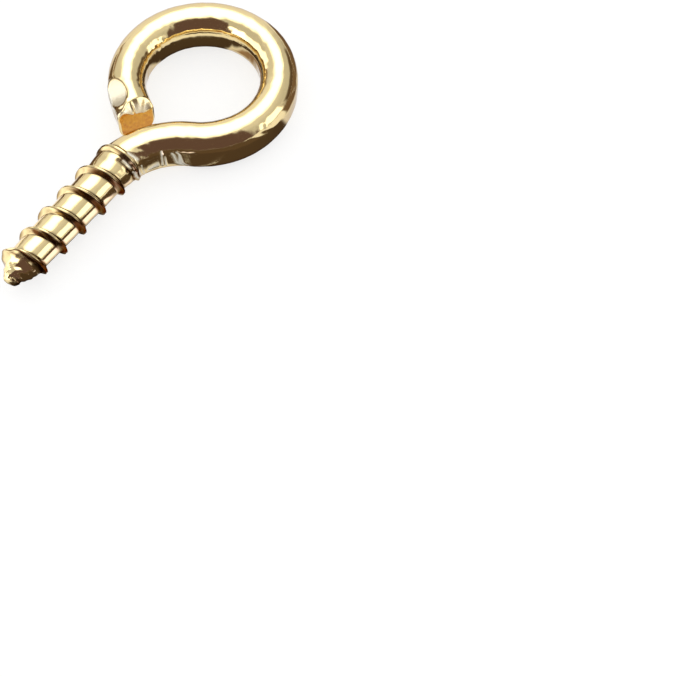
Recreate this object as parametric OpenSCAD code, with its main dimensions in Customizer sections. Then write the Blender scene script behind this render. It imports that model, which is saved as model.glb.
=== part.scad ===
// Screw eye: one length of drawn brass wire, pointed and thread-rolled at one end, bent over at the
// neck and closed into an eye.  The eye lies flat: its axis is +Z, its centre is the origin, and the
// shank runs from the point, at -X, towards the eye.

/* [Wire] */
// Diameter of the plain wire, where the thread runs out
wire_d = 2.8; // [2.6:0.05:3]

/* [Eye] */
// Clear diameter inside the eye
eye_inner_d = 7.2; // [5:0.1:12]
// Width of the wire round the eye, squeezed a little by the bending
eye_wire_w = 2.4; // [2:0.05:2.8]
// Height of the flat band that the bending dies leave inside and outside the eye
eye_flat = 0.65; // [0.3:0.05:1.2]
// Direction of the eye's last point, seen from the eye's centre
eye_end_angle = 146; // [120:1:150]

/* [Cut end] */
// Length of the straight stub beyond the eye's last point
stub_l = 1.4; // [1:0.05:1.8]
// Slant of the cut, longer on the outside of the eye
cut_slant = 10; // [0:1:15]
// How far the shearing rounds the top and bottom of the cut face
cut_round = 0.35; // [0.1:0.05:0.5]
// How far the rounding starts outside the wire's section
round_clearance = 0.03; // [0.02:0.01:0.05]

/* [Tool mark] */
// Depth of the dent that the closing tool leaves on the outside of the eye
dent_depth = 0.25; // [0.1:0.01:0.4]
// Length of the dent along the wire
dent_l = 2.1; // [1.2:0.1:2.4]
// Distance of the dent's middle from the eye's last point, along the middle of the wire
dent_back = 0.2; // [0.2:0.1:5]
// How far the dent faces up from the side of the wire
dent_tilt = 40; // [20:1:60]
// How far the tool lay askew across the wire
dent_skew = 25; // [0:1:30]

/* [Neck] */
// Bend radius of the neck, at the middle of the wire
neck_r = 5.35; // [4:0.05:8]
// Distance of the shank's axis from the eye's centre, towards the cut end
shank_offset = 0.43; // [0:0.01:0.8]

/* [Shank] */
// Length of the straight shank, from the point to the bend of the neck
shank_l = 10.15; // [8:0.05:30]
// Length of the cone at the point
point_l = 1.55; // [1.5:0.05:5]
// Radius of the blunt tip
tip_r = 0.32; // [0.1:0.01:0.5]

/* [Thread] */
// Pitch of the thread
pitch = 1.86; // [1.4:0.01:2.4]
// Diameter over the thread's crests, at the neck
crest_d = 3.2; // [3.05:0.05:3.6]
// Diameter of the thread's root, at the neck
root_d = 2.54; // [2.2:0.02:2.6]
// How much smaller both are where the cone starts
taper_d = 0.35; // [0:0.05:0.4]
// Width of the flat on top of the thread's ridge
crest_w = 0.14; // [0.08:0.01:0.25]
// Width of the ridge at its foot
ridge_w = 0.6; // [0.4:0.01:0.9]
// Distance from the tip at which the first full turn starts, on the inner side of the wire
first_crest_at = 1.2; // [1:0.05:2]
// Distance from the tip at which the ridge starts to flare from the tip's to its full diameter
flare_at = 0.75; // [0.4:0.05:1.2]
// Length over which it flares
flare_l = 0.7; // [0.4:0.05:1.2]
// Height of the ridge on the tip, before it flares
tip_ridge_h = 0.16; // [0.05:0.01:0.25]
// Length over which the thread fades out, into the neck
fade_l = 1.7; // [1:0.05:3]

/* [Hidden] */

brass = [0.83, 0.66, 0.34];

// ---- the eye's circle and the neck's arc, at the middle of the wire
eye_r = (eye_inner_d + eye_wire_w) / 2;
eye_wire_h = eye_wire_w + eye_flat;
bend_start = 180 + asin((neck_r - shank_offset) / (eye_r + neck_r)); // where the neck meets the eye
neck_turn = 270 - bend_start;
neck_centre = (eye_r + neck_r) * [cos(bend_start), sin(bend_start)];
neck_l = neck_r * neck_turn * PI / 180;
eye_turn = 360 + eye_end_angle - bend_start;

// ---- how the drawn solids meet: the shank's far end is a slightly slimmer spigot inside the eye's wire
spigot_gap = 0.02;
spigot_l = 0.4;
spigot_waist = 0.25;
squeeze_share = 0.7; // the share of the neck over which the wire is squeezed
swept_l = shank_l + neck_l + spigot_l;

// ---- the mesh of the thread: its rows follow the helix, so that every crest line is a clean edge
columns = 48;
land_w = pitch - ridge_w;
profile = [ // axial place in the turn, and share of the ridge's height
    [-ridge_w / 2, 0],
    [-crest_w / 2, 1],
    [crest_w / 2, 1],
    [ridge_w / 2, 0],
    [ridge_w / 2 + land_w / 3, 0],
    [ridge_w / 2 + land_w * 2 / 3, 0],
];
profile_rows = len(profile);
turns = ceil(swept_l / pitch) + 3;
first_turn = first_crest_at - 2 * pitch; // the mesh starts two turns beyond the tip, and is cut off there
blunt_slope = 2.5; // how fast the core widens from the very tip
tiny = pitch / columns / 4;

function mix(a, b, t) = a + (b - a) * t;
function clamped(t) = min(1, max(0, t));
function smooth(t) = let (c = clamped(t)) c * c * (3 - 2 * c);

// ---- the middle of the wire, at a distance s from the tip
function neck_at(s) = (s - shank_l) / neck_r * 180 / PI;
function eye_at(s) = bend_start + (s - shank_l - neck_l) / eye_r * 180 / PI;
function middle(s) =
    s < shank_l ? [neck_centre[0] - shank_l + s, shank_offset]
    : s < shank_l + neck_l ? neck_centre + neck_r * [sin(neck_at(s)), cos(neck_at(s))]
    : eye_r * [cos(eye_at(s)), sin(eye_at(s))];
function sideways(s) = // points to the inside of the eye
    s < shank_l ? [0, 1]
    : s < shank_l + neck_l ? [sin(neck_at(s)), cos(neck_at(s))]
    : -[cos(eye_at(s)), sin(eye_at(s))];

// ---- the wire's size, at a distance s from the tip
function bent(s) = smooth((s - shank_l + fade_l / 2) / (neck_l * squeeze_share)); // 0 where round, 1 where squeezed
function spigot(s) = spigot_gap + spigot_waist * clamped((s - shank_l - neck_l) / spigot_l);
function wire_r(s) = mix(wire_d, eye_wire_w, bent(s)) / 2 - spigot(s) * bent(s);
function half_flat(s) = eye_flat / 2 * bent(s);
function faded(s) = smooth((s - shank_l + fade_l / 2) / fade_l);
function taper(s) = taper_d * clamped((shank_l - s) / (shank_l - point_l));
function root_r(s) = (root_d - taper(s)) / 2;
function core_r(s) =
    let (cone = tip_r + (root_r(point_l) - tip_r) * s / point_l)
    mix(min(blunt_slope * s, cone, root_r(s)), wire_r(s), faded(s));
function crest_r(s) = (crest_d - taper(s)) / 2;
function ridge_h(s) =
    let (flared = smooth((s - flare_at) / flare_l))
    mix(mix(tip_ridge_h, crest_r(s) - core_r(s), flared), 0, faded(s));

// A point on the outside of the wire, at a distance s from the tip and an angle a round the wire.
function skin(s, a, share) =
    let (
        r = core_r(s) + max(0, ridge_h(s)) * share,
        across = r * cos(a),
        up = r * sin(a) + half_flat(s) * sign(sin(a)),
        m = middle(s),
        n = sideways(s)
    )
    [m[0] + n[0] * across, m[1] + n[1] * across, up];

// ---- rows and columns of the thread's mesh
function row_s(i, j) =
    first_turn + pitch * (floor(i / profile_rows) + j / columns) + profile[i % profile_rows][0];
function column_a(j) = (j + 0.5) * 360 / columns;
function corner(i, j) =
    j == columns ? corner(i + profile_rows, 0)
    : row_s(i, j) <= tiny ? 0
    : row_s(i, j) >= swept_l - tiny ? 1 + j
    : 1 + columns + i * columns + j;
function is_face(f) = f[0] != f[1] && f[1] != f[2] && f[2] != f[0];

module threaded_shank() {
    rows = turns * profile_rows;
    tip = [each middle(0), 0];
    end_ring = [for (j = [0:columns - 1]) skin(swept_l, column_a(j), 0)];
    body = [
        for (i = [0:rows - 1], j = [0:columns - 1])
            skin(min(max(row_s(i, j), tiny), swept_l), column_a(j), profile[i % profile_rows][1])
    ];
    sides = [
        for (i = [0:rows - profile_rows - 2], j = [0:columns - 1])
            let (
                a = corner(i, j),
                b = corner(i, j + 1),
                c = corner(i + 1, j + 1),
                d = corner(i + 1, j)
            )
            each [for (f = [[a, b, c], [a, c, d]]) if (is_face(f)) f]
    ];
    end_face = [[for (j = [columns:-1:1]) j]];
    polyhedron(points = concat([tip], end_ring, body), faces = concat(sides, end_face));
}

// The squeezed wire's section: half-round above and below, flat at the sides.
module eye_section() {
    for (side = [-1, 1])
        translate([0, side * eye_flat / 2]) circle(d = eye_wire_w, $fn = 48);
    square([eye_wire_w, eye_flat], center = true);
}

// The eye and its stub, drawn with the eye's last point on +X.
module eye_ring() {
    rotate_extrude(angle = -eye_turn, $fn = 96) translate([eye_r, 0]) eye_section();
}

module stub() {
    ball_r = eye_wire_h / 2 + round_clearance;
    ball_back = sqrt(ball_r * ball_r - pow(eye_wire_h / 2 - cut_round, 2));
    plain_l = stub_l - ball_back;
    past_cut = eye_wire_w / 4;
    translate([eye_r, 0, 0]) difference() {
        union() {
            rotate([-90, 0, 0]) linear_extrude(plain_l) eye_section();
            intersection() {
                translate([0, plain_l, 0]) rotate([-90, 0, 0]) linear_extrude(ball_back + past_cut) eye_section();
                translate([0, plain_l, 0]) sphere(r = ball_r, $fn = 64);
            }
        }
        translate([0, stub_l, 0]) rotate([0, 0, cut_slant])
            translate([-eye_wire_w, 0, -eye_wire_h]) cube([eye_wire_w * 2, eye_wire_h, eye_wire_h * 2]);
    }
}

// What the closing tool pressed in: a round bar laid askew on the wire's upper outside.
module tool_bar() {
    reach = eye_wire_w / 2 + eye_flat / 2 * sin(dent_tilt);
    bar_r = 1 / (2 * dent_depth / pow(dent_l / 2, 2) - 1 / (eye_r + eye_wire_w / 2));
    angle_back = dent_back / eye_r * 180 / PI;
    rotate(-angle_back) translate([eye_r, 0, 0]) rotate([0, -dent_tilt, 0])
        translate([reach - dent_depth + bar_r, 0, 0]) rotate([-dent_skew, 0, 0])
            cylinder(r = bar_r, h = eye_wire_h * 2, center = true, $fn = 96);
}

module closed_eye() {
    rotate(eye_end_angle) difference() {
        union() {
            eye_ring();
            stub();
        }
        tool_bar();
    }
}

module screw_eye() {
    color(brass) {
        threaded_shank();
        closed_eye();
    }
}

screw_eye();
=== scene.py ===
"""Screw eye, dressed: one length of brass-plated wire with a rolled wood-screw thread and a closed eye.

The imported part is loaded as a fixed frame.  The wire is built again here as one fine mesh on the same
sizes, with the thread's rolled lips, the fading turns on the neck, the shallow dent of the closing tool
and the sheared end, and takes the place of the plain solid.
"""

from __future__ import annotations

import logging
import math
from dataclasses import dataclass, field

import bmesh
import bpy
import numpy as np
from mathutils import Matrix, Vector

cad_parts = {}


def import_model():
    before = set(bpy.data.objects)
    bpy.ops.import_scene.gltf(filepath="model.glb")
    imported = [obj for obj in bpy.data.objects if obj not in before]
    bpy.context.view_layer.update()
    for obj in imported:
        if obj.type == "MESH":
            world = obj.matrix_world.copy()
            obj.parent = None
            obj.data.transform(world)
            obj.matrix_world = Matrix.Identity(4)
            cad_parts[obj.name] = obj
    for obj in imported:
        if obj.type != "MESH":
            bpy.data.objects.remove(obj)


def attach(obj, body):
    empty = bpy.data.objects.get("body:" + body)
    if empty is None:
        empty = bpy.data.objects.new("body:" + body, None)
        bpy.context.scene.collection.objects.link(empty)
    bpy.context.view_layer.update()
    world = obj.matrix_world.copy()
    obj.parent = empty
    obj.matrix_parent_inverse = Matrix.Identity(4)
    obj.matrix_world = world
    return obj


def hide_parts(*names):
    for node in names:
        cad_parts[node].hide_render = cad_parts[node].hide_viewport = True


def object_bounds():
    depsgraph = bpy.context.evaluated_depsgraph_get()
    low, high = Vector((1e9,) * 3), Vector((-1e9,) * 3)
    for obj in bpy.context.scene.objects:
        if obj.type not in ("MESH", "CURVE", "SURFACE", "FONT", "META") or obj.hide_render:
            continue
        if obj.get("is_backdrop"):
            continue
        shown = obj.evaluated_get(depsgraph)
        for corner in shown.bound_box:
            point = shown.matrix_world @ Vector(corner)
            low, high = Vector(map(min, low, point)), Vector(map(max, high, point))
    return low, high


LOG = logging.getLogger("screw_eye")
MM = 0.001
NODE = "screw_eye"
BODY = "root"
TINY = 1e-6
WAVES = 7
WAVE_RANGE = (0.2, 2.0)

Array = np.ndarray
Colour = tuple[float, float, float, float]
Socket = bpy.types.NodeSocket
Value = Socket | float | tuple[float, ...]


def smooth(value: Array | float) -> Array | float:
    """Returns 0 below 0, 1 above 1, and an even S between them."""
    part = np.clip(value, 0.0, 1.0)
    return part * part * (3.0 - 2.0 * part)


def bump(value: Array) -> Array:
    """Returns a bell of height 1 and width about 1 around 0."""
    return np.exp(-(value**2) * 4.0)


def wander(place: Array, seed: int) -> Array:
    """Returns a slowly wandering line of about unit height, the sum of a few random waves.

    Args:
        place: where along the line to read it.
        seed: the start of the random draws.

    Returns:
        The line's value at each place.
    """
    draw = np.random.default_rng(seed)
    frequency = draw.uniform(*WAVE_RANGE, WAVES)
    phase = draw.uniform(0.0, math.tau, WAVES)
    height = draw.uniform(0.4, 1.0, WAVES) / math.sqrt(WAVES)
    return sum(h * np.sin(math.tau * f * place + p) for f, p, h in zip(frequency, phase, height))


def turned(a: Array, towards: float) -> Array:
    """Returns how many degrees angles in radians lie past a direction in degrees, from -180 to 180."""
    return np.degrees(np.angle(np.exp(1j * (a - math.radians(towards)))))


def quads(low: Array, high: Array) -> Array:
    """Returns the four-cornered faces between rows of points and the rows that follow them."""
    return np.stack([low[:, :-1], low[:, 1:], high[:, 1:], high[:, :-1]], -1).reshape(-1, 4)


def placed(name: str, data: bpy.types.ID) -> bpy.types.Object:
    """Places a new object in the scene.

    Args:
        name: its name.
        data: its mesh or its camera.

    Returns:
        The object.
    """
    obj = bpy.data.objects.new(name, data)
    bpy.context.scene.collection.objects.link(obj)
    return obj


def margin(values: Array) -> Array:
    """Returns how far rising values are from the nearer end of their range."""
    return np.minimum(values - values[0], values[-1] - values)


@dataclass
class Wire:
    """The bent wire's own sizes, in millimetres, the same as the part's.

    The distance s runs along the middle of the wire from the tip of the point to the cut end.
    The angle a runs round the wire, from 0 on the side that faces the inside of the eye to a
    quarter turn on top.
    """

    wire_d: float = 2.8
    eye_inner_d: float = 7.2
    eye_wire_w: float = 2.4
    eye_flat: float = 0.65
    eye_end_angle: float = 146.0
    stub_l: float = 1.4
    neck_r: float = 5.35
    shank_offset: float = 0.43
    shank_l: float = 10.15
    eye_r: float = field(init=False)
    bend_start: float = field(init=False)
    neck_centre: Array = field(init=False)
    neck_l: float = field(init=False)
    eye_l: float = field(init=False)

    def __post_init__(self) -> None:
        """Works out the arcs of the neck and the eye from the sizes."""
        self.eye_r = (self.eye_inner_d + self.eye_wire_w) / 2.0
        reach = self.eye_r + self.neck_r
        self.bend_start = math.pi + math.asin((self.neck_r - self.shank_offset) / reach)
        self.neck_centre = reach * np.array([math.cos(self.bend_start), math.sin(self.bend_start)])
        self.neck_l = self.neck_r * (1.5 * math.pi - self.bend_start)
        self.eye_l = self.eye_r * (2.0 * math.pi + math.radians(self.eye_end_angle) - self.bend_start)

    @property
    def bent_l(self) -> float:
        """Returns the distance from the tip to the eye's last point."""
        return self.shank_l + self.neck_l + self.eye_l

    @property
    def whole_l(self) -> float:
        """Returns the distance from the tip to the cut."""
        return self.bent_l + self.stub_l

    def middle(self, s: Array) -> tuple[Array, Array]:
        """Finds the middle of the wire and the direction across it, with the plane as complex numbers.

        Args:
            s: distances from the tip.

        Returns:
            Points in the plane of the eye, and unit vectors to the left of the run of the wire.
        """
        shank = self.neck_centre[0] - self.shank_l + s + 1j * self.shank_offset
        neck = 1j * np.exp(-1j * (s - self.shank_l) / self.neck_r)
        eye = np.exp(1j * (self.bend_start + (s - self.shank_l - self.neck_l) / self.eye_r))
        stub = np.exp(1j * math.radians(self.eye_end_angle))
        past = self.eye_r * stub + 1j * stub * (s - self.bent_l)
        bend = complex(*self.neck_centre) + self.neck_r * neck
        zones = [s < self.shank_l, s < self.shank_l + self.neck_l, s < self.bent_l]
        middle = np.select(zones, [shank, bend, self.eye_r * eye], past)
        left = np.select(zones, [np.full_like(neck, 1j), neck, -eye], -stub)
        return np.stack([middle.real, middle.imag], -1), np.stack([left.real, left.imag], -1)


@dataclass
class Thread:
    """The rolled wood-screw thread, in millimetres.

    The fillet and its drop are shares of the flank, and worn and uneven say how much a crest's height
    and place wander.
    """

    pitch: float = 1.86
    crest_d: float = 3.2
    root_d: float = 2.54
    taper_d: float = 0.35
    crest_w: float = 0.13
    ridge_w: float = 0.58
    fillet: float = 0.2
    fillet_drop: float = 0.08
    seam: float = 0.13
    worn: float = 0.07
    uneven: float = 0.015
    point_l: float = 1.55
    tip_r: float = 0.32
    blunt_l: float = 0.22
    rough_to: float = 2.3
    waves_l: float = 1.5
    long_flank: float = 0.5
    flare_at: float = 0.75
    flare_l: float = 0.7
    tip_ridge_h: float = 0.16
    fade_l: float = 1.7
    last_ridge: float = 11.45
    last_ridge_l: float = 1.9
    rubbed_at: float = 10.3
    rubbed_l: float = 0.9
    rubbed_share: float = 0.6
    first_crest_at: float = 1.2

    def ridge(self, from_crest: Array) -> Array:
        """Gives the ridge's share of its height.

        Args:
            from_crest: the distance along the shank from the middle of the crest.

        Returns:
            1 on the crest and 0 on the land, with a fillet at the foot and a faint seam along the crest.
        """
        away = np.abs(from_crest)
        down = (away - self.crest_w / 2.0) / (self.ridge_w / 2.0 - self.crest_w / 2.0)
        flank = np.clip(1.0 - down, 0.0, 1.0)
        height = 1.0 - self.fillet_drop
        foot = flank**2 * ((self.fillet - self.fillet_drop) / height) / self.fillet**2
        body = np.where(flank > self.fillet, (flank - self.fillet_drop) / height, foot)
        seam = self.seam * bump(from_crest / self.crest_w)
        return np.clip(body, 0.0, 1.0) - seam * (away < self.crest_w)


@dataclass
class JawMark:
    """A scuffed groove that the bending jaws left, between two places on the wire.

    Each place is a distance from the tip, in millimetres, and an angle round the wire, in degrees.
    """

    start: tuple[float, float]
    end: tuple[float, float]
    width: float
    depth: float
    skin_r: float = 1.35

    def share(self, s: Array, a: Array) -> Array:
        """Gives 1 in the middle of the groove and 0 away from it.

        Args:
            s: distances from the tip.
            a: angles round the wire, in radians.

        Returns:
            The share.
        """
        arc = self.skin_r * math.pi / 180.0
        run = np.array([self.end[0] - self.start[0], (self.end[1] - self.start[1]) * arc])
        long = float(np.hypot(*run)) + TINY
        along = s - self.start[0]
        around = turned(a, self.start[1]) * arc
        on = (along * run[0] + around * run[1]) / long
        off = (along * run[1] - around * run[0]) / long
        past = np.maximum(np.maximum(-on, on - long), 0.0)
        return np.exp(-((off / self.width) ** 2) - (past / self.width) ** 2)


@dataclass
class Chatter:
    """A patch of small pits and ripples where a tool rattled on the wire, in millimetres and degrees."""

    s: float
    turn: float
    length: float
    width: float
    depth: float
    seed: int

    def press(self, s: Array, a: Array) -> Array:
        """Gives the height of the pits and ripples.

        Args:
            s: distances from the tip.
            a: angles round the wire, in radians.

        Returns:
            The height, in millimetres.
        """
        round_it = turned(a, self.turn)
        patch = np.exp(-(((s - self.s) / self.length) ** 4)) * np.exp(-((round_it / self.width) ** 4))
        pits = wander(s * 1.5 + round_it * 0.012, self.seed)
        ripples = wander(round_it * 0.028 - s * 0.6, self.seed + 1)
        return 0.5 * self.depth * patch * (pits + ripples)


@dataclass
class ClosingTool:
    """The round bar that pressed the end of the eye shut, in millimetres and degrees.

    The rim round the facet, painted dark as a painted reflection edge, and the band below it between two
    heights round the wire, painted pale as a painted highlight like the facet, are measured from where the
    bar stopped.
    """

    back: float = 0.36
    tilt: float = 42.0
    skew: float = 20.0
    depth: float = 0.26
    length: float = 1.9
    blunt: float = 0.012
    lip_h: float = 0.045
    lip_w: float = 0.05
    # How pale the painted highlight on the facet is.
    highlight_share: float = 0.62
    near: float = 2.2
    outer: float = 0.7
    edge_w: float = 0.03
    rim_at: float = 0.04
    rim_w: float = 0.045
    pale_band_w: float = 0.36
    pale_band_fade: float = 0.12
    pale_band_height: float = 0.42

    def sunk(self, wire: Wire, points: Array) -> tuple[Array, Array]:
        """Measures how far points lie inside the bar.

        Args:
            wire: the bent wire.
            points: the points.

        Returns:
            The depths, negative outside the bar, and the directions straight out of it.
        """
        tilt, skew = math.radians(self.tilt), math.radians(self.skew)
        middle, left = wire.middle(np.array([wire.bent_l - self.back]))
        out = np.array([-left[0, 0], -left[0, 1], 0.0])
        up = np.array([0.0, 0.0, 1.0])
        onward = np.cross(up, out)
        facing = out * math.cos(tilt) + up * math.sin(tilt)
        along_bar = (up * math.cos(tilt) - out * math.sin(tilt)) * math.cos(skew) + onward * math.sin(skew)
        reach = wire.eye_wire_w / 2.0 + wire.eye_flat / 2.0 * math.sin(tilt)
        bar_r = 1.0 / (8.0 * self.depth / self.length**2 - 1.0 / (wire.eye_r + wire.eye_wire_w / 2.0))
        axis = np.array([*middle[0], 0.0]) + facing * (reach - self.depth + bar_r)
        offset = points - axis
        offset = offset - (offset @ along_bar)[..., None] * along_bar
        distance = np.linalg.norm(offset, axis=-1)
        return bar_r - distance, offset / distance[..., None]

    def press(self, wire: Wire, s: Array, a: Array, points: Array) -> tuple[Array, Array]:
        """Presses the bar into the wire and throws up a lip round it.

        Args:
            wire: the bent wire.
            s: distances from the tip.
            a: angles round the wire.
            points: the skin's points.

        Returns:
            The points after the press, and the share of painted pale highlight where the bar touched them and
            on the band below, and -1 on the rim, which is painted dark.
        """
        sunk, away = self.sunk(wire, points)
        near = (np.abs(s - wire.bent_l) < self.near) & (np.cos(a) < self.outer)
        push = np.log1p(np.exp(np.clip(sunk / self.blunt, -30.0, 30.0))) * self.blunt * near
        lip = self.lip_h * np.exp(-(((sunk + self.lip_w) / self.lip_w) ** 2)) * near
        _, side = wire.middle(s)
        radial = np.stack([side[..., 0] * np.cos(a), side[..., 1] * np.cos(a), np.sin(a)], -1)
        # Painted highlight on the facet and the pale band below it, and a painted dark reflection edge on the
        # rim.
        low = smooth((self.pale_band_height - np.sin(a)) / 0.3)
        rim = np.exp(-(((sunk + self.rim_at) / self.rim_w) ** 2)) * (1.0 - low)
        below = low * smooth((np.sin(a) + self.pale_band_height) / 0.2)
        pale_highlight = smooth((sunk + self.pale_band_w) / self.pale_band_fade) * below * (np.cos(a) < -0.2)
        touched = np.maximum(self.highlight_share * smooth(sunk / self.edge_w + 0.5), pale_highlight)
        return points + away * push[..., None] + radial * lip[..., None], (touched - rim) * near


@dataclass
class ShearedEnd:
    """The end of the wire where the cutter went through, in millimetres and degrees.

    The cutter came down on the crown, smeared its metal over in two lobes with a crease between them,
    and squashed it outwards at the flare.  The lobes and the flare's corner are painted pale, a painted
    highlight.
    """

    slant: float = 10.0
    roll_top: float = 0.66
    roll_side: float = 0.16
    roll_bottom: float = 0.06
    sink_top: float = 0.62
    inward: float = 17.0
    crown_from: float = 0.45
    crown_fade: float = 0.5
    # How pale the painted highlight on the lobes is, and how much of it reaches the flare's corner.
    pale_highlight: float = 0.72
    corner_highlight: float = 0.8
    crease_at: float = 101.0
    crease_w: float = 10.0
    crease_lift: float = 0.3
    flare: float = 0.2
    flare_at: float = 146.0
    flare_w: float = 50.0
    lead_rows: int = 16
    rim_rows: int = 12
    face_rows: int = 14

    @property
    def plated_rows(self) -> int:
        """Returns how many rows plated faces start from: the lead's and the rim's, but the last two."""
        return self.lead_rows + self.rim_rows - 3

    def upper(self, a: Array) -> Array:
        """Returns 1 on the crown, where the cutter came down, and 0 on the sides and below."""
        return smooth((np.sin(a + math.radians(self.inward)) - self.crown_from) / self.crown_fade)

    def spread(self, a: Array) -> Array:
        """Returns how much wider than the wire the squashed end is, as a share of its half-width."""
        return self.flare * bump((np.degrees(a) - self.flare_at) / self.flare_w)

    def crease(self, a: Array) -> Array:
        """Returns 1 along the crease between the two lobes of the rolled edge, and 0 away from it."""
        return bump((np.degrees(a) - self.crease_at) / self.crease_w)

    def roll(self, a: Array) -> Array:
        """Gives how far along the wire the rolled edge begins before the cut.

        Args:
            a: angles round the wire.

        Returns:
            The distances, in millimetres.
        """
        top = self.roll_side + (self.roll_top - self.roll_side) * self.upper(a)
        low = self.roll_bottom + (self.roll_side - self.roll_bottom) * smooth(np.sin(a) + 0.9)
        return np.where(np.sin(a) > 0.1, top, low)

    def sink(self, a: Array) -> Array:
        """Returns how far the cut's edge drops below the skin, least at the crease."""
        top = self.upper(a)
        return self.roll(a) * (1.0 - top) + self.sink_top * top * (1.0 - self.crease_lift * self.crease(a))

    def rows(self, wire: Wire, a: Array, start: float) -> tuple[Array, Array, Array]:
        """Lays out the rows of points from the plain wire over the rolled edge to the middle of the cut.

        Args:
            wire: the bent wire.
            a: the angles of the columns.
            start: where the plain wire ends.

        Returns:
            The points' distances along the wire, their shares of its half-width and the share of painted pale
            highlight on them, with a line for each row.
        """
        half = wire.eye_wire_w / 2.0
        lean = math.tan(math.radians(self.slant))
        cut = wire.whole_l - np.cos(a) * half * lean
        roll, sink, flat, spread = self.roll(a), self.sink(a), self.upper(a), self.spread(a)
        # Painted highlight: pale at the flare's corner, and on the lobes except along the crease.
        corner = self.corner_highlight * self.pale_highlight * spread / self.flare * smooth((np.sin(a) - 0.1) / 0.4)
        highlight_share = self.pale_highlight * smooth((np.sin(a) - 0.3) / 0.3) * (1.0 - self.crease(a))
        made = []
        for step in np.linspace(0.0, 1.0, self.lead_rows + 1)[1:]:
            made.append((start + (cut - roll - start) * step, 1.0 + spread * step**3, corner * step**3))
        for quarter in np.linspace(0.0, math.pi / 2.0, self.rim_rows)[1:]:
            inset = sink * ((1.0 - flat) * (1.0 - math.cos(quarter)) + flat * math.sin(quarter) ** 1.25)
            distance = cut - roll + roll * math.sin(quarter) + np.cos(a) * inset * lean
            made.append((distance, 1.0 + spread - inset / half, highlight_share * smooth(quarter)))
        edge = 1.0 + spread - sink / half
        for step in np.linspace(0.0, 1.0, self.face_rows)[1:-1]:
            share = edge * (1.0 - step)
            made.append((wire.whole_l - np.cos(a) * half * share * lean, share, np.zeros_like(a)))
        distances, shares, highlight_shares = zip(*made)
        return np.stack(distances), np.stack(shares), np.stack(highlight_shares)


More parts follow.
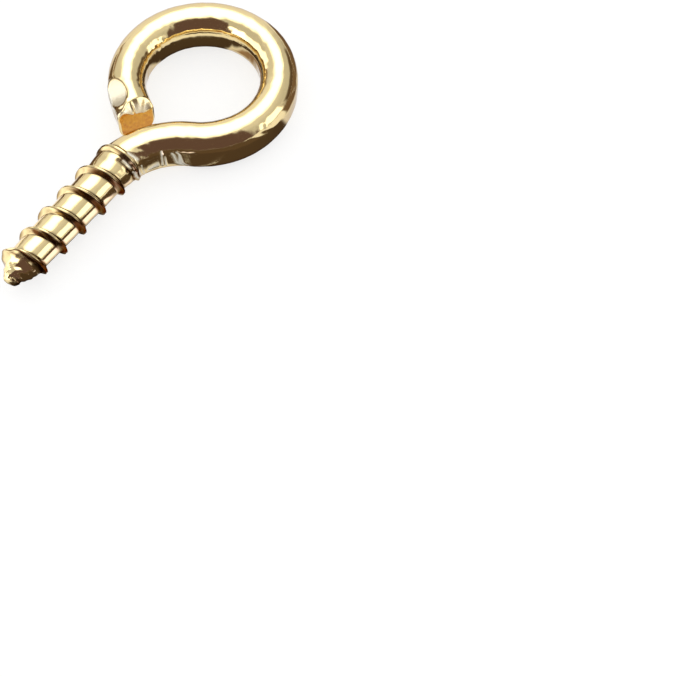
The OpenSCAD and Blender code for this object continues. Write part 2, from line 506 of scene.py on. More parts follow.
@dataclass
class ThreadedWire:
    """The whole object as one fine mesh.

    Its skin is laid out in columns round the wire and rows along it.  The rows wind with the thread up to
    its end, and are plain rings from there on.  The places of the dark corners, which are painted shade, are
    shares of the ridge's half-width from its middle, and the darkness of the painted shade is a share of the
    darkest.
    """

    wire: Wire = field(default_factory=Wire)
    thread: Thread = field(default_factory=Thread)
    bar: ClosingTool = field(default_factory=ClosingTool)
    end: ShearedEnd = field(default_factory=ShearedEnd)
    columns: int = 144
    rows_a_turn: int = 30
    ridge_rows: int = 19
    thread_end: float = 13.0
    eye_step: float = 0.1
    fine_step: float = 0.06
    fine_past_neck: float = 0.5
    fine_before_end: float = 1.8
    end_l: float = 0.75
    squeeze_share: float = 0.7
    flat_edge: float = 12.0
    wave_h: float = 0.006
    kink_h: float = 0.004
    lump_h: float = 0.045
    # Painted shade: how dark the rim round the pressed facet, the gouges, the ridge's corners and the ridge's
    # inner side are painted.
    rim_dark: float = 0.9
    gouge_dark: float = 1.1
    corner_at: float = 0.62
    corner_w: float = 0.18
    far_corner_at: float = 0.8
    far_corner_w: float = 0.1
    far_corner_dark: float = 0.85
    inner_dark: float = 0.08
    shoulder_dark: float = 0.75
    dark_past: float = 1.2
    marks: tuple[JawMark, ...] = (
        JawMark((10.72, 122.0), (10.86, 150.0), 0.08, 0.04),
        JawMark((10.96, 168.0), (11.33, 190.0), 0.07, 0.04),
        JawMark((11.34, 116.0), (11.72, 146.0), 0.12, 0.04),
        JawMark((11.52, 176.0), (11.85, 196.0), 0.06, 0.05),
        JawMark((11.88, 172.0), (12.12, 194.0), 0.05, 0.05),
        JawMark((12.50, 188.0), (13.35, 184.0), 0.09, 0.05),
        JawMark((13.70, 156.0), (13.70, 186.0), 0.08, 0.06),
        JawMark((13.95, 178.0), (14.02, 192.0), 0.07, 0.06),
        JawMark((14.52, 170.0), (15.12, 196.0), 0.10, 0.06),
        JawMark((14.89, 166.0), (15.62, 200.0), 0.08, 0.06),
        JawMark((15.05, 182.0), (15.35, 200.0), 0.10, 0.05),
        JawMark((41.66, 84.0), (41.74, 106.0), 0.07, 0.06),
    )
    gouges: tuple[JawMark, ...] = (
        JawMark((10.47, 110.0), (10.58, 152.0), 0.11, 0.05),
        JawMark((10.58, 152.0), (11.14, 202.0), 0.15, 0.06),
        JawMark((11.10, 144.0), (11.24, 170.0), 0.09, 0.05),
        JawMark((11.24, 170.0), (11.66, 196.0), 0.09, 0.06),
        JawMark((12.40, 203.0), (13.30, 199.0), 0.06, 0.04),
    )
    rattles: tuple[Chatter, ...] = (
        Chatter(11.7, 160.0, 0.9, 40.0, 0.022, 61),
        Chatter(20.2, 160.0, 0.75, 34.0, 0.020, 71),
        Chatter(35.7, 20.0, 0.9, 32.0, 0.016, 81),
        Chatter(28.6, 30.0, 0.8, 26.0, 0.008, 91),
    )

    def angles(self) -> Array:
        """Returns the angles of the columns round the wire."""
        return (np.arange(self.columns) + 0.5) * 2.0 * math.pi / self.columns

    def fading(self, s: Array) -> Array:
        """Returns 0 where the thread is whole and 1 where it has run out."""
        return smooth((s - self.wire.shank_l + self.thread.fade_l / 2.0) / self.thread.fade_l)

    def squeeze(self, s: Array) -> Array:
        """Returns 0 where the wire is round and 1 where the bending has squeezed it."""
        start = self.wire.shank_l - self.thread.fade_l / 2.0
        return smooth((s - start) / (self.wire.neck_l * self.squeeze_share))

    def taper(self, s: Array) -> Array:
        """Returns how much thinner than at the neck the thread is."""
        w, t = self.wire, self.thread
        return t.taper_d * np.clip((w.shank_l - s) / (w.shank_l - t.point_l), 0.0, 1.0)

    def core(self, s: Array) -> Array:
        """Gives the half-width of the wire between the thread's turns.

        Args:
            s: distances from the tip.

        Returns:
            The half-widths, in millimetres.
        """
        w, t = self.wire, self.thread
        root = (t.root_d - self.taper(s)) / 2.0
        cone = t.tip_r + ((t.root_d - t.taper_d) / 2.0 - t.tip_r) * s / t.point_l
        plain = (w.wire_d + (w.eye_wire_w - w.wire_d) * self.squeeze(s)) / 2.0
        ball = np.sqrt(np.clip(1.0 - (1.0 - np.clip(s / t.blunt_l, 0.0, 1.0)) ** 2, 0.0, 1.0))
        blunt = t.tip_r * ball + 0.2 * s + 4.0 * np.clip(s - t.blunt_l, 0.0, None)
        inner = np.minimum(np.minimum(blunt, cone), root)
        return inner + (plain - inner) * self.fading(s)

    def height(self, s: Array) -> Array:
        """Gives the height of the thread's ridge above the core.

        Args:
            s: distances from the tip.

        Returns:
            The heights, in millimetres.
        """
        t = self.thread
        full = (t.crest_d - self.taper(s)) / 2.0 - self.core(s)
        flared = smooth((s - t.flare_at) / t.flare_l)
        low = t.tip_ridge_h * smooth(s / 0.2)
        ending = smooth((s - t.last_ridge + t.last_ridge_l / 2.0) / t.last_ridge_l)
        rubbed = t.rubbed_share * bump((s - t.rubbed_at) / t.rubbed_l)
        return np.clip(low + (full - low) * flared, 0.0, None) * (1.0 - ending) * (1.0 - rubbed)

    def relief(self, s: Array, a: Array) -> Array:
        """Gives the small hollows and swellings that the tools left on the skin.

        Args:
            s: distances from the tip.
            a: angles round the wire.

        Returns:
            The heights, in millimetres.
        """
        total = self.wave_h * wander(s * 0.9 + np.sin(a) * 0.7, 31)
        total = total + self.kink_h * wander(s * 0.5 + np.cos(a) * 1.1, 37)
        total = total * smooth(s / self.thread.waves_l)
        lumps = wander(s * 1.25 + np.sin(a) * 0.5, 41) + wander(np.cos(a) * 0.9 + s * 0.8, 43)
        total = total + self.lump_h * lumps * smooth(s / 0.25) * smooth((self.thread.rough_to - s) / 0.8)
        for mark in (*self.marks, *self.gouges):
            total = total - mark.depth * mark.share(s, a)
        for rattle in self.rattles:
            total = total + rattle.press(s, a)
        return total

    def scuffs_and_highlights(self, s: Array, a: Array) -> Array:
        """Returns 1 on the jaw marks, which are scuffed and painted pale as a painted highlight, and 0 away
        from them.
        """
        return np.clip(sum(mark.share(s, a) for mark in self.marks), 0.0, 1.0)

    def gouge_shade(self, s: Array, a: Array) -> Array:
        """Returns 1 inside a gouge, which is darkened with painted shade, and 0 away from it."""
        return np.clip(self.gouge_dark * sum(mark.share(s, a) for mark in self.gouges), 0.0, 1.0)

    def skin(self, s: Array, a: Array, from_crest: Array, share: Array | float = 1.0) -> Array:
        """Places points of the wire's skin.

        Args:
            s: distances from the tip.
            a: angles round the wire.
            from_crest: distances along the shank from the nearest crest.
            share: how far out to the skin the point is.

        Returns:
            Points in the part's frame, in millimetres.
        """
        w, t = self.wire, self.thread
        helix = s / t.pitch
        worn = 1.0 + t.worn * wander(helix * 3.0, 11)
        uneven = from_crest + t.uneven * wander(helix * 2.0, 23)
        long_flank = t.long_flank * smooth((t.rough_to - s) / 0.7)
        uneven = np.where(uneven < 0.0, uneven * (1.0 - long_flank), uneven)
        r = self.core(s) + self.height(s) * worn * t.ridge(uneven) + self.relief(s, a)
        across = r * np.cos(a) * share
        rise = w.eye_flat / 2.0 * self.squeeze(s) * np.clip(np.sin(a) * self.flat_edge, -1.0, 1.0)
        middle, left = w.middle(s)
        flat = middle + left * across[..., None]
        return np.concatenate([flat, ((r * np.sin(a) + rise) * share)[..., None]], -1)

    def foot(self, s: Array, a: Array, from_crest: Array) -> Array:
        """Gives how much painted shade darkens the wire on and beside the ridge.

        It lies in the corner on the tip's side and, less, in the other one, mostly on the wire's outer
        side.  The ridge is painted dark over its whole width on the outer side and the inner side.

        Args:
            s: distances from the tip.
            a: angles round the wire.
            from_crest: distances along the shank from the nearest crest.

        Returns:
            1 in the darkest places and 0 on the lands.
        """
        half = self.thread.ridge_w / 2.0
        # Painted shade: dark corners beside the ridge, weighted towards the outer side, and the whole ridge
        # darkened on the outer and inner sides.
        before = np.exp(-(((from_crest + half * self.corner_at) / self.corner_w) ** 4))
        after = np.exp(-(((from_crest - half * self.far_corner_at) / self.far_corner_w) ** 2))
        outer = smooth(0.75 - 1.1 * np.cos(a + 0.25)) * smooth(1.9 + 1.6 * np.sin(a + 0.4))
        shoulder = smooth(2.4 * np.cos(a + 0.25) - 1.15) * np.exp(-((from_crest / (half * 0.8)) ** 4))
        rubbed = smooth(-3.0 * np.cos(a) - 1.6) * np.exp(-((from_crest / (half * 1.05)) ** 4))
        patchy_shade = np.clip(1.0 + 0.35 * wander(s / self.thread.pitch * 4.0, 51), 0.0, 1.3)
        shaded = np.maximum(before, self.far_corner_dark * after) * patchy_shade
        shaded = shaded * (self.inner_dark + (1.0 - self.inner_dark) * outer)
        shaded = np.maximum(shaded, np.maximum(rubbed * outer, self.shoulder_dark * shoulder))
        return np.clip(shaded, 0.0, 1.0) * (1.0 - self.fading(s - self.dark_past)) * smooth(s / 0.4)

    def windings(self) -> tuple[Array, Array, Array]:
        """Lays out the rows that wind along the thread, some of them past its two ends.

        Returns:
            The distances, the angles and the distances from the crest.
        """
        t, n, m = self.thread, self.columns, self.rows_a_turn
        half = t.ridge_w / 2.0
        ridge = np.linspace(-half, half, self.ridge_rows)
        land = np.linspace(half, t.pitch - half, m - self.ridge_rows + 2)[1:-1]
        profile = np.concatenate([ridge, land])
        first = t.first_crest_at - 2.0 * t.pitch
        turns = int(math.ceil((self.thread_end - first) / t.pitch)) + 2
        i, j = np.arange(turns * m), np.arange(n)
        s = (first + t.pitch * (i // m) + profile[i % m])[:, None] + t.pitch * j[None, :] / n
        crest = np.broadcast_to(profile[i % m][:, None], s.shape)
        crest = np.where(crest > t.pitch / 2.0, crest - t.pitch, crest)
        return s, np.broadcast_to(self.angles(), s.shape), crest

    def stations(self) -> Array:
        """Places the plain rings of the neck and the eye, closer together where more happens.

        Returns:
            Their distances from the tip.
        """
        w = self.wire
        fine_to, fine_from = w.shank_l + w.neck_l + self.fine_past_neck, w.bent_l - self.fine_before_end
        return np.concatenate(
            [
                np.arange(self.thread_end, fine_to, self.fine_step),
                np.arange(fine_to, fine_from, self.eye_step),
                np.arange(fine_from, w.whole_l - self.end_l, self.fine_step),
            ]
        )

    def rings(self) -> tuple[Array, Array, Array]:
        """Places the plain rings of the neck, the eye and the sheared end.

        Returns:
            Their points, their distances from the tip, and the share of painted pale highlight where a tool
            touched them, and -1 on its rim, which is painted dark.
        """
        plain = self.stations()[:, None] * np.ones(self.columns)
        distance, share, highlight_share = self.end.rows(self.wire, self.angles(), float(plain[-1, 0]))
        s = np.concatenate([plain, distance])
        share = np.concatenate([np.ones_like(plain), share])
        highlight_share = np.concatenate([-np.ones_like(plain), highlight_share])
        a = np.broadcast_to(self.angles(), s.shape)
        skin = self.skin(s, a, np.full_like(s, self.thread.pitch / 2.0), share)
        points, touched = self.bar.press(self.wire, s, a, skin)
        return points, s, np.maximum(touched, highlight_share)

    def faces(self, s: Array, tiny: float, rings: int) -> tuple[list[list[int]], list[bool]]:
        """Joins the points, which are the tip, the windings, the rings and the middle of the cut.

        A winding's points past the tip fall on it, and those past the thread's end on the first ring.

        Args:
            s: the windings' distances from the tip.
            tiny: how near to its two ends a winding ends.
            rings: how many rings there are.

        Returns:
            The faces, and whether each is bare metal of the cut.
        """
        n, m = self.columns, self.rows_a_turn
        offset = 1 + s.size
        index = 1 + np.arange(s.size).reshape(s.shape)
        index = np.where(s <= tiny, 0, index)
        index = np.where(s >= self.thread_end - tiny, offset + np.arange(n)[None, :], index)
        onward = np.concatenate([index[:-m], index[m:, :1]], 1)
        ring = offset + np.arange(rings * n).reshape(-1, n)
        ring = np.concatenate([ring, ring[:, :1]], 1)
        hub = np.full_like(ring[-1:], offset + rings * n)
        wound, tube = quads(onward[:-1], onward[1:]), quads(ring[:-1], ring[1:])
        cap = quads(ring[-1:], hub)
        first_bare = len(wound) + (len(self.stations()) + self.end.plated_rows) * n
        faces, bare = [], []
        for number, quad in enumerate(np.concatenate([wound, tube, cap]).tolist()):
            face = [q for k, q in enumerate(quad) if q != quad[k - 1]]
            if len(set(face)) >= 3:
                faces.append(face)
                bare.append(number >= first_bare)
        return faces, bare

    def build(self) -> bpy.types.Object:
        """Builds the mesh of the whole wire.

        Returns:
            The object, in metres, in the part's frame.
        """
        s, a, crest = self.windings()
        tiny = self.thread.pitch / self.columns / 4.0
        held = np.clip(s, tiny, self.thread_end)
        rings, ring_s, touched = self.rings()
        whole_l = self.wire.whole_l
        tip, hub = self.wire.middle(np.array([0.0, whole_l]))[0]
        body, tube = self.skin(held, a, crest).reshape(-1, 3), rings.reshape(-1, 3)
        points = np.concatenate([[[*tip, 0.0]], body, tube, [[*hub, 0.0]]])
        along = np.concatenate([[0.0], held.reshape(-1), ring_s.reshape(-1), [whole_l]])
        turn = np.concatenate([[0.0], a.reshape(-1), np.tile(self.angles(), len(rings)), [0.0]])
        foot = np.concatenate([[0.0], self.foot(held, a, crest).reshape(-1), np.zeros(len(tube) + 1)])
        dent = np.concatenate([np.zeros(1 + s.size), touched.reshape(-1), [0.0]])
        # Painted shade: the rim round the pressed facet and the gouges are darkened with the ridge's dark
        # corners.
        rim = self.rim_dark * np.clip(-dent, 0.0, 1.0)
        foot = np.maximum(foot, np.maximum(rim, self.gouge_shade(along, turn)))
        # Painted highlight: the pressed facet, the band below it, the cut's lobes and the jaw marks, which
        # are partly real scuffing, are made pale.
        dent = np.maximum(np.clip(dent, 0.0, 1.0), self.scuffs_and_highlights(along, turn) * (along < self.wire.bent_l))
        faces, bare = self.faces(s, tiny, len(rings))
        return self.mesh(points, faces, bare, {"along": along, "turn": turn, "foot": foot, "dent": dent})

    def mesh(
        self, points: Array, faces: list[list[int]], bare: list[bool], values: dict[str, Array]
    ) -> bpy.types.Object:
        """Makes the object from its points and faces.

        Args:
            points: the points, in millimetres, some of them unused.
            faces: the faces.
            bare: whether each face is bare metal of the cut.
            values: what the materials read at each point.

        Returns:
            The object, in metres.
        """
        used = np.zeros(len(points), bool)
        used[[q for face in faces for q in face]] = True
        renumber = np.cumsum(used) - 1
        mesh = bpy.data.meshes.new("wire")
        corners = [[int(renumber[q]) for q in face] for face in faces]
        mesh.from_pydata((points[used] * MM).tolist(), [], corners)
        drawn = np.stack([np.cos(values["turn"]), np.sin(values["turn"]), values["along"]], -1)[used]
        mesh.attributes.new("drawn", "FLOAT_VECTOR", "POINT").data.foreach_set("vector", drawn.reshape(-1))
        for name in ("foot", "dent"):
            mesh.attributes.new(name, "FLOAT", "POINT").data.foreach_set("value", values[name][used])
        mesh.polygons.foreach_set("material_index", np.array(bare, np.int32))
        mesh.polygons.foreach_set("use_smooth", np.ones(len(faces), bool))
        mesh.update()
        work = bmesh.new()
        work.from_mesh(mesh)
        bmesh.ops.recalc_face_normals(work, faces=work.faces)
        work.to_mesh(mesh)
        work.free()
        return placed("wire", mesh)


class Nodes:
    """The nodes of a material or a group."""

    def __init__(self, tree: bpy.types.NodeTree) -> None:
        """Takes the tree to add nodes to."""
        self.tree = tree

    def fill(self, node: bpy.types.Node, inputs: dict[str | int, Value]) -> None:
        """Fills a node's input sockets.

        Args:
            node: the node.
            inputs: for each socket, the value that it holds or the socket that feeds it.
        """
        for name, value in inputs.items():
            if isinstance(value, Socket):
                self.tree.links.new(value, node.inputs[name])
            else:
                node.inputs[name].default_value = value

    def add(
        self, kind: str, inputs: dict[str | int, Value] | None = None, **settings: object
    ) -> bpy.types.Node:
        """Adds a node.

        Args:
            kind: the node's type, without the words that all of them start with.
            inputs: for each input socket, the value that it holds or the socket that feeds it.
            settings: the node's own settings.

        Returns:
            The node.
        """
        node = self.tree.nodes.new(f"ShaderNode{kind}")
        for name, value in settings.items():
            setattr(node, name, value)
        self.fill(node, inputs or {})
        return node

    def read(self, name: str) -> bpy.types.bpy_prop_collection:
        """Returns the sockets that give what the mesh holds under a name."""
        return self.add("Attribute", attribute_name=name).outputs

    def calc(self, operation: str, *values: Value) -> Socket:
        """Returns the result of a math node."""
        return self.add("Math", dict(enumerate(values)), operation=operation).outputs[0]

    def mix(self, share: Value, first: Value, second: Value) -> Socket:
        """Returns a mix of two colours, with a share of the second."""
        inputs = {"Factor": share, "A": first, "B": second}
        return self.add("Mix", inputs, data_type="RGBA").outputs["Result"]

    def bump(self, height: Value, depth: float, over: Socket | None = None) -> Socket:
        """Adds bumps to the surface.

        Args:
            height: where they are high, from 0 to 1.
            depth: how deep they are, in millimetres.
            over: the bumps that these lie on, if any.

        Returns:
            The bumpy surface's normal.
        """
        inputs = {"Strength": 1.0, "Distance": depth * MM, "Height": height}
        if over is not None:
            inputs["Normal"] = over
        return self.add("Bump", inputs).outputs["Normal"]


class Group(Nodes):
    """A shader node group that takes a place and an amount, built once."""

    def __init__(self, name: str, amount: str, *results: str) -> None:
        """Starts a group.

        Args:
            name: the group's name.
            amount: the name of the input that its results are multiplied by.
            results: the names of its results.
        """
        super().__init__(bpy.data.node_groups.new(name, "ShaderNodeTree"))
        new_socket = self.tree.interface.new_socket
        new_socket("Place", in_out="INPUT", socket_type="NodeSocketVector")
        new_socket(amount, in_out="INPUT", socket_type="NodeSocketFloat").default_value = 1.0
        for result in results:
            new_socket(result, in_out="OUTPUT", socket_type="NodeSocketFloat")
        start = self.tree.nodes.new("NodeGroupInput").outputs
        self.place, self.amount = start["Place"], start[amount]
        self.last = self.tree.nodes.new("NodeGroupOutput")

    def gives(self, name: str, value: Socket) -> None:
        """Gives a value, times the amount, as the result with a name."""
        self.fill(self.last, {name: self.calc("MULTIPLY", value, self.amount)})

    def noise(self, stretch: tuple[float, float, float], detail: float) -> Socket:
        """Adds noise at the group's place.

        Args:
            stretch: how fine it is along each axis.
            detail: how many finer layers it has.

        Returns:
            A value from 0 to 1.
        """
        place = self.add("VectorMath", {0: self.place, 1: stretch}, operation="MULTIPLY").outputs[0]
        return self.add("TexNoise", {"Vector": place, "Scale": 1.0, "Detail": detail}).outputs["Fac"]


def draw_marks() -> bpy.types.NodeTree:
    """Builds the long fine marks that the drawing die leaves on wire.

    Returns:
        The group, which takes a place and a strength and gives a height.
    """
    group = Group("draw_marks", "Strength", "Height")
    fine = group.calc("MULTIPLY", group.noise((26.0, 26.0, 0.5), 3.0), 0.5)
    group.gives("Height", group.calc("ADD", fine, group.noise((7.0, 7.0, 0.22), 2.0)))
    return group.tree


def wear() -> bpy.types.NodeTree:
    """Builds the uneven, slightly cloudy polish of barrel-plated hardware.

    Returns:
        The group, which takes a place and an amount and gives a mask of dull patches and a height of
        tiny dings.
    """
    group = Group("wear", "Amount", "Dull", "Height")
    group.gives("Dull", group.noise((1.6, 1.6, 1.1), 5.0))
    group.gives("Height", group.noise((5.0, 5.0, 3.6), 3.0))
    return group.tree


class MaterialNodes(Nodes):
    """The nodes of a new material, which starts with its one shader."""

    def __init__(self, name: str) -> None:
        """Starts the material.

        Args:
            name: the material's name.
        """
        self.made = bpy.data.materials.new(name)
        self.made.use_nodes = True
        super().__init__(self.made.node_tree)
        self.shader = self.tree.nodes["Principled BSDF"]


@dataclass(frozen=True)
class PlatedBrass:
    """Bright brass plate over drawn wire, with painted shade making it dark brown in the corners at the feet
    of the ridges and in the other dark places of the shade mask.

    Extra roughness is added where the shade is painted and, as satin, where the tools pressed, and the
    diffuse share is how much of the metal's shine gives way to a pale painted highlight on the tool marks,
    which are partly real scuffing.
    """

    colour: Colour = (0.885, 0.7, 0.345, 1.0)
    # Painted shade: the dark brown of the dark corners and the other dark places.
    painted_shade_colour: Colour = (0.085, 0.033, 0.010, 1.0)
    glance: Colour = (0.45, 0.35, 0.26, 1.0)
    # Painted highlight: the pale colour of the tool marks, which are partly real scuffing.
    scuff_and_highlight_colour: Colour = (1.0, 0.96, 0.81, 1.0)
    lacquer: float = 1.0
    lacquer_roughness: float = 0.06
    roughness: float = 0.10
    dullness: float = 0.12
    shade_roughness: float = 0.14
    satin: float = 0.2
    scuff_and_highlight_diffuse: float = 0.9
    mark_depth: float = 0.0012
    ding_depth: float = 0.004

    def material(self, marks: bpy.types.NodeTree, worn: bpy.types.NodeTree) -> bpy.types.Material:
        """Makes the material.

        Args:
            marks: the group of drawing marks.
            worn: the group of wear.

        Returns:
            The material.
        """
        nodes = MaterialNodes("plated_brass")
        place = nodes.read("drawn")["Vector"]
        foot, dent = nodes.read("foot")["Fac"], nodes.read("dent")["Fac"]
        drawing = nodes.add("Group", {"Place": place}, node_tree=marks).outputs
        wearing = nodes.add("Group", {"Place": place}, node_tree=worn).outputs
        least = self.roughness - self.dullness * 0.5
        rough = nodes.calc("MULTIPLY_ADD", wearing["Dull"], self.dullness, least)
        rough = nodes.calc("MULTIPLY_ADD", foot, self.shade_roughness, rough)
        # Painted shade is mixed in where the dark mask is.
        plate = nodes.mix(foot, self.colour, self.painted_shade_colour)
        streaks = nodes.bump(drawing["Height"], self.mark_depth)
        nodes.fill(
            nodes.shader,
            {
                # Painted pale highlight on the tool marks.
                "Base Color": nodes.mix(dent, plate, self.scuff_and_highlight_colour),
                "Metallic": nodes.calc("MULTIPLY_ADD", dent, -self.scuff_and_highlight_diffuse, 1.0),
                "Roughness": nodes.calc("MULTIPLY_ADD", dent, self.satin, rough),
                # The lacquer is taken off where the painted shade is.
                "Coat Weight": nodes.calc("MULTIPLY_ADD", foot, -self.lacquer, self.lacquer),
                "Coat Roughness": self.lacquer_roughness,
                "Specular Tint": self.glance,
                "Normal": nodes.bump(wearing["Height"], self.ding_depth, streaks),
            },
        )
        return nodes.made


@dataclass(frozen=True)
class ShearedBrass:
    """The torn, unplated face of the cut: orange, dull and grainy, with painted shade making it darker and
    redder lower down and paler towards its top.
    """

    colour: Colour = (0.86, 0.46, 0.07, 1.0)
    shaded_bottom_colour: Colour = (0.6, 0.24, 0.05, 1.0)
    roughness: float = 0.4
    tear_depth: float = 0.03
    # How the painted shade follows the height, and where it is deepest and palest.
    rise: float = 0.22
    deep: float = 0.2
    pale: float = 0.75

    def material(self, worn: bpy.types.NodeTree) -> bpy.types.Material:
        """Makes the material.

        Args:
            worn: the group of wear.

        Returns:
            The material.
        """
        nodes = MaterialNodes("sheared_brass")
        metres = nodes.add("NewGeometry").outputs["Position"]
        place = nodes.add("VectorMath", {0: metres, "Scale": 1.0 / MM}, operation="SCALE").outputs[0]
        torn = nodes.add("Group", {"Place": place}, node_tree=worn).outputs["Height"]
        # Painted shade: darker and redder lower down on the face, paler towards its top.
        high = nodes.add("SeparateXYZ", {0: place}).outputs["Z"]
        paler = nodes.calc("MULTIPLY_ADD", high, self.rise, torn)
        ends = {"Value": paler, "From Min": self.deep, "From Max": self.pale}
        paler = nodes.add("MapRange", ends).outputs["Result"]
        nodes.fill(
            nodes.shader,
            {
                "Base Color": nodes.mix(paler, self.shaded_bottom_colour, self.colour),
                "Metallic": 1.0,
                "Roughness": self.roughness,
                "Normal": nodes.bump(torn, self.tear_depth),
            },
        )
        return nodes.made


WHITE = (1.0, 1.0, 1.0)
BROWN = (1.42, 0.94, 0.6)
RUST = (1.5, 0.94, 0.9)
PINK = (1.0, 0.93, 1.15)


@dataclass(frozen=True)
class Card:
    """One card of the studio, which only the shine of the metal shows.

    Its light is a tone at a level, and fades to nothing over the soft width at its edges.  A card on the
    floor has a lift, its height over the floor in millimetres.
    """

    name: str
    level: float
    tone: tuple[float, float, float] = WHITE
    soft: float = 8.0
    lift: float | None = None

    def shape(self) -> tuple[Array, Array]:
        """Returns a grid of points, in metres, and the share of the card's light left at each."""
        raise NotImplementedError

    def glow(self) -> bpy.types.Material:
        """Makes a material that glows with the card's own light.

        Returns:
            The material.
        """
        nodes = MaterialNodes(self.name)
        nodes.made.cycles.emission_sampling = "NONE"
        nodes.tree.nodes.clear()
        colour = (*[self.level * c for c in self.tone], 1.0)
        clear = nodes.add("BsdfTransparent").outputs[0]
        light = nodes.add("Emission", {"Color": colour}).outputs[0]
        both = nodes.add("MixShader", {0: nodes.read("fade")["Fac"], 1: clear, 2: light}).outputs[0]
        nodes.add("OutputMaterial", {"Surface": both})
        return nodes.made

    def cut(self, floor: float) -> None:
        """Cuts the card and sets it up as part of the stage.

        Args:
            floor: the height of the floor, in metres.
        """
        points, fade = self.shape()
        if self.lift is not None:
            points[..., 2] = floor + self.lift * MM
        grid = np.arange(fade.size).reshape(fade.shape)
        mesh = bpy.data.meshes.new(self.name)
        mesh.from_pydata(points.reshape(-1, 3).tolist(), [], quads(grid[:-1], grid[1:]).tolist())
        kept = mesh.attributes.new("fade", "FLOAT", "POINT")
        kept.data.foreach_set("value", fade.reshape(-1).astype(np.float32))
        mesh.materials.append(self.glow())
        obj = placed(self.name, mesh)
        obj.visible_camera = False
        obj.visible_diffuse = False
        obj.visible_shadow = False
        obj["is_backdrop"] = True


@dataclass(frozen=True)
class Wrap(Card):
    """A curved sheet round the object, from one compass direction and height, in degrees, to another.

    An edge straight above or below the object, and the edges of a full turn, don't fade.
    """

    turn: tuple[float, float] = (-180.0, 180.0)
    rise: tuple[float, float] = (-90.0, 90.0)
    away: float = 0.7
    steps: tuple[int, int] = (61, 41)

    def shape(self) -> tuple[Array, Array]:
        """Shapes the card.

        Returns:
            The sheet's points, in metres, and the share of its light left at each.
        """
        turn, rise = np.linspace(*self.turn, self.steps[0]), np.linspace(*self.rise, self.steps[1])
        t, e = np.meshgrid(np.radians(turn), np.radians(rise))
        points = np.stack([np.cos(e) * np.cos(t), np.cos(e) * np.sin(t), np.sin(e)], -1) * self.away
        side = np.where(self.turn[1] - self.turn[0] < 360.0, margin(turn), self.soft)
        low = np.where(self.rise[0] > -90.0, rise - self.rise[0], self.soft)
        high = np.where(self.rise[1] < 90.0, self.rise[1] - rise, self.soft)
        return points, smooth(np.minimum(low, high) / self.soft)[:, None] * smooth(side / self.soft)


@dataclass(frozen=True)
class Softbox(Card):
    """A flat oval that faces the object from a compass direction and height, in degrees."""

    toward: tuple[float, float] = (0.0, 90.0)
    half: tuple[float, float] = (40.0, 40.0)
    away: float = 0.4
    steps: tuple[int, int] = (33, 65)

    def shape(self) -> tuple[Array, Array]:
        """Shapes the card.

        Returns:
            The oval's points, in metres, and the share of its light left at each.
        """
        t, e = math.radians(self.toward[0]), math.radians(self.toward[1])
        facing = np.array([math.cos(e) * math.cos(t), math.cos(e) * math.sin(t), math.sin(e)])
        level = np.array([-math.sin(t), math.cos(t), 0.0])
        upright = np.cross(facing, level)
        share, round_it = np.meshgrid(
            np.linspace(0.0, 1.0, self.steps[0]), np.linspace(0.0, math.tau, self.steps[1])
        )
        wide = math.tan(math.radians(self.half[0])) * share * np.cos(round_it)
        tall = math.tan(math.radians(self.half[1])) * share * np.sin(round_it)
        points = facing + wide[..., None] * level + tall[..., None] * upright
        return points * self.away, smooth((1.0 - share) * min(self.half) / self.soft)


@dataclass(frozen=True)
class Mat(Card):
    """A four-cornered sheet on the floor, its corners and soft width in millimetres.

    Its grid is closer near its edges, where the light fades.
    """

    lift: float | None = 0.03
    corners: tuple[tuple[float, float], ...] = ()
    steps: int = 61

    def shape(self) -> tuple[Array, Array]:
        """Shapes the card.

        Returns:
            The sheet's points, in metres, and the share of its light left at each.
        """
        even = np.linspace(-1.0, 1.0, self.steps)
        ease = (1.0 + np.sign(even) * (1.0 - (1.0 - np.abs(even)) ** 3)) / 2.0
        u, v = (share[..., None] for share in np.meshgrid(ease, ease))
        a, b, c, d = (np.array(corner) for corner in self.corners)
        flat = a * (1 - u) * (1 - v) + b * u * (1 - v) + c * u * v + d * (1 - u) * v
        inside = np.full(flat.shape[:2], np.inf)
        for start, end in ((a, b), (b, c), (c, d), (d, a)):
            run = (end - start) / np.linalg.norm(end - start)
            side = flat - start
            inside = np.minimum(inside, np.abs(run[0] * side[..., 1] - run[1] * side[..., 0]))
        return np.concatenate([flat * MM, np.zeros_like(u)], -1), smooth(inside / self.soft)


@dataclass(frozen=True)
class RingMat(Card):
    """A part of a ring on the floor round the middle of the eye, in millimetres and degrees."""

    lift: float | None = 0.04
    reach: tuple[float, float] = (1.0, 2.0)
    turn: tuple[float, float] = (0.0, 90.0)
    steps: tuple[int, int] = (31, 61)

    def shape(self) -> tuple[Array, Array]:
        """Shapes the card.

        Returns:
            The ring's points, in metres, and the share of its light left at each.
        """
        reach = np.linspace(*self.reach, self.steps[0])
        turn = np.radians(np.linspace(*self.turn, self.steps[1]))
        r, t = np.meshgrid(reach, turn)
        points = np.stack([r * np.cos(t) * MM, r * np.sin(t) * MM, np.zeros_like(r)], -1)
        side = margin(turn) * np.mean(self.reach)
        return points, smooth(np.minimum(margin(reach)[None, :], side[:, None]) / self.soft)


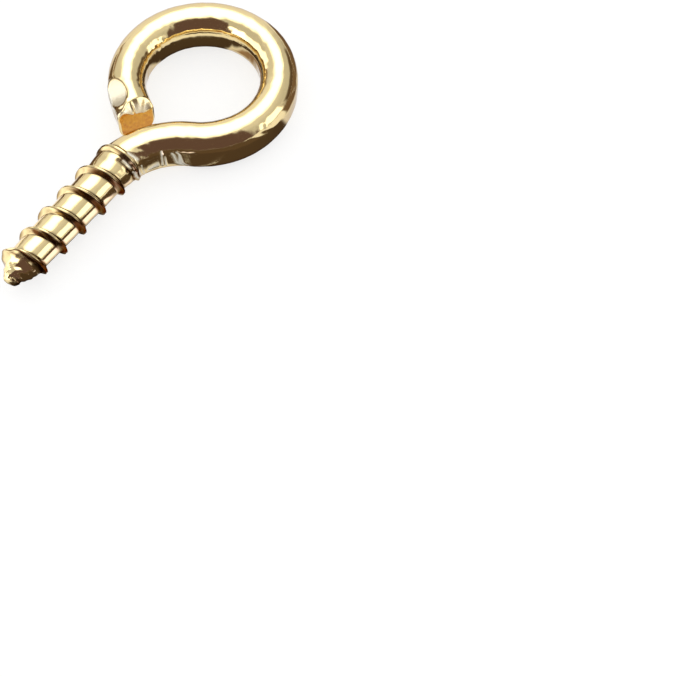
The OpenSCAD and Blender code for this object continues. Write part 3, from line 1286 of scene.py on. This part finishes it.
@dataclass
class Studio:
    """The floor, the light and the camera, its place in degrees, metres and millimetres of lens."""

    azimuth: float = -53.52
    elevation: float = 56.61
    roll: float = -0.515
    distance: float = 0.18134
    focal_length: float = 161.0
    clip: tuple[float, float] = (0.001, 10.0)
    aim: tuple[float, float, float] = (-0.01052, -0.01834, 0.0)
    floor_size: float = 4.0
    floor_albedo: float = 0.3
    floor_glow: float = 0.75
    cards: tuple[Card, ...] = (
        Wrap("room", 0.62, away=0.9),
        Wrap("far_sky", 0.98, soft=16.0, turn=(8.0, 80.0), rise=(-30.0, 80.0), away=0.86),
        Wrap("left_sky", 0.74, soft=14.0, turn=(56.0, 110.0), rise=(8.0, 80.0), away=0.87),
        Wrap("right_sky", 0.8, soft=30.0, turn=(-104.0, 40.0), rise=(30.0, 100.0), away=0.85),
        Wrap("camera_side", 0.085, RUST, soft=11.0, turn=(-196.0, -82.0), rise=(-30.0, 76.0), away=0.7),
        Wrap("right_low", 0.08, BROWN, soft=9.0, turn=(-50.0, 6.0), rise=(-30.0, 22.0), away=0.71),
        Wrap("left_low", 0.22, BROWN, soft=9.0, turn=(64.0, 138.0), rise=(-30.0, 14.0), away=0.72),
        Wrap("end_strip", 1.9, soft=5.0, turn=(90.0, 162.0), rise=(-12.0, 32.0), away=0.71),
        Wrap("side_strip", 1.9, soft=5.0, turn=(-80.0, -46.0), rise=(2.0, 36.0), away=0.6),
        Wrap("back_strip", 2.8, soft=7.0, turn=(138.0, 176.0), rise=(-30.0, 40.0), away=0.6),
        Softbox("overhead", 2.7, soft=18.0, toward=(36.5, 68.0), half=(31.0, 45.0)),
        Mat("near_mat", 0.08, BROWN, 0.7, 0.03, ((-7.0, -3.6), (1.4, -7.2), (-80.0, -400.0), (-400.0, -4.4))),
        Mat("neck_mat", 0.06, BROWN, 0.5, 0.06, ((-9.6, -1.0), (-4.6, -2.6), (-4.6, -9.0), (-9.6, -6.0))),
        RingMat("under_eye_mat", 0.06, BROWN, soft=0.5, lift=0.06, reach=(4.2, 9.0), turn=(206.0, 286.0)),
        Mat("shank_shade", 0.04, BROWN, 0.5, 0.03, ((-18.5, -0.9), (-9.5, -0.9), (-9.5, 1.3), (-18.5, 1.3))),
        Mat("left_light", 1.5, soft=0.6, corners=((-60.0, 3.0), (-9.4, 3.0), (-16.0, 40.0), (-100.0, 40.0))),
        Mat("eye_left_mat", 0.12, BROWN, 0.6, 0.03, ((-9.0, 2.6), (-3.7, 5.0), (9.9, 41.0), (-15.0, 80.0))),
        Mat("far_right_mat", 0.15, BROWN, 0.8, 0.03, ((6.5, -7.0), (6.9, 1.0), (60.0, 8.0), (60.0, -50.0))),
        Mat("shank_light", 1.6, PINK, 0.5, 0.05, ((-19.0, -1.2), (-7.4, -1.2), (-9.5, -5.6), (-21.5, -5.6))),
        Mat("tip_shade", 0.05, BROWN, 0.4, 0.07, ((-26.0, -14.0), (-16.7, -3.4), (-16.7, 0.7), (-21.0, 0.7))),
        Mat("right_mat", 0.13, BROWN, 0.8, 0.03, ((2.2, -7.4), (5.2, -5.4), (400.0, -40.0), (270.0, -400.0))),
        RingMat("near_hole_mat", 0.06, BROWN, soft=0.5, lift=0.05, reach=(0.2, 3.2), turn=(146.0, 284.0)),
        RingMat("far_hole_mat", 0.25, BROWN, soft=0.4, lift=0.05, reach=(2.1, 3.5), turn=(-24.0, 16.0)),
        RingMat("hole_mat", 0.05, BROWN, soft=0.35, reach=(1.75, 4.4), turn=(14.0, 84.0)),
    )

    def camera(self) -> None:
        """Places the camera and makes it the scene's."""
        data = bpy.data.cameras.new("camera")
        data.lens = self.focal_length
        data.clip_start, data.clip_end = self.clip
        cam = placed("camera", data)
        a, e = math.radians(self.azimuth), math.radians(self.elevation)
        back = Vector((math.sin(a) * math.cos(e), -math.cos(a) * math.cos(e), math.sin(e)))
        turn = back.to_track_quat("Z", "Y").to_matrix().to_4x4()
        spin = Matrix.Rotation(math.radians(self.roll), 4, "Z")
        cam.matrix_world = Matrix.Translation(Vector(self.aim) + back * self.distance) @ turn @ spin
        bpy.context.scene.camera = cam

    def world(self) -> None:
        """Fills the world with plain white light."""
        world = bpy.data.worlds.new("studio")
        bpy.context.scene.world = world
        world.use_nodes = True
        light = world.node_tree.nodes["Background"]
        Nodes(world.node_tree).fill(light, {"Color": (*WHITE, 1.0), "Strength": 1.0})

    def floor(self, height: float) -> None:
        """Lays a plain white floor that keeps the object's shadow.

        Args:
            height: where the object rests.
        """
        half = self.floor_size / 2.0
        mesh = bpy.data.meshes.new("floor")
        corners = [(x * half, y * half, height) for x, y in ((-1, -1), (1, -1), (1, 1), (-1, 1))]
        mesh.from_pydata(corners, [], [(0, 1, 2, 3)])
        nodes = MaterialNodes("floor")
        path = nodes.add("LightPath").outputs
        seen = nodes.calc("ADD", path["Is Camera Ray"], path["Is Glossy Ray"])
        seen = nodes.calc("ADD", seen, path["Is Transmission Ray"])
        nodes.fill(
            nodes.shader,
            {
                "Base Color": (*[self.floor_albedo] * 3, 1.0),
                "Roughness": 1.0,
                "Specular IOR Level": 0.0,
                "Emission Color": (*WHITE, 1.0),
                "Emission Strength": nodes.calc("MULTIPLY", seen, self.floor_glow),
            },
        )
        mesh.materials.append(nodes.made)
        obj = placed("floor", mesh)
        obj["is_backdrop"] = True

    def build(self, height: float) -> None:
        """Sets up the whole studio.

        Args:
            height: where the object rests.
        """
        self.camera()
        self.world()
        self.floor(height)
        for card in self.cards:
            card.cut(height)


def main() -> None:
    """Builds the dressed screw eye and its studio."""
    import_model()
    cad_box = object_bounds()
    logging.basicConfig(level=logging.INFO, format="%(name)s: %(message)s")
    scene = bpy.context.scene
    scene.view_settings.view_transform = "Standard"
    Studio().build(cad_box[0][2])
    worn = wear()
    wire = ThreadedWire().build()
    wire.data.materials.append(PlatedBrass().material(draw_marks(), worn))
    wire.data.materials.append(ShearedBrass().material(worn))
    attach(wire, BODY)
    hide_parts(NODE)
    LOG.info("wire: %d faces", len(wire.data.polygons))


if __name__ == "__main__":
    main()
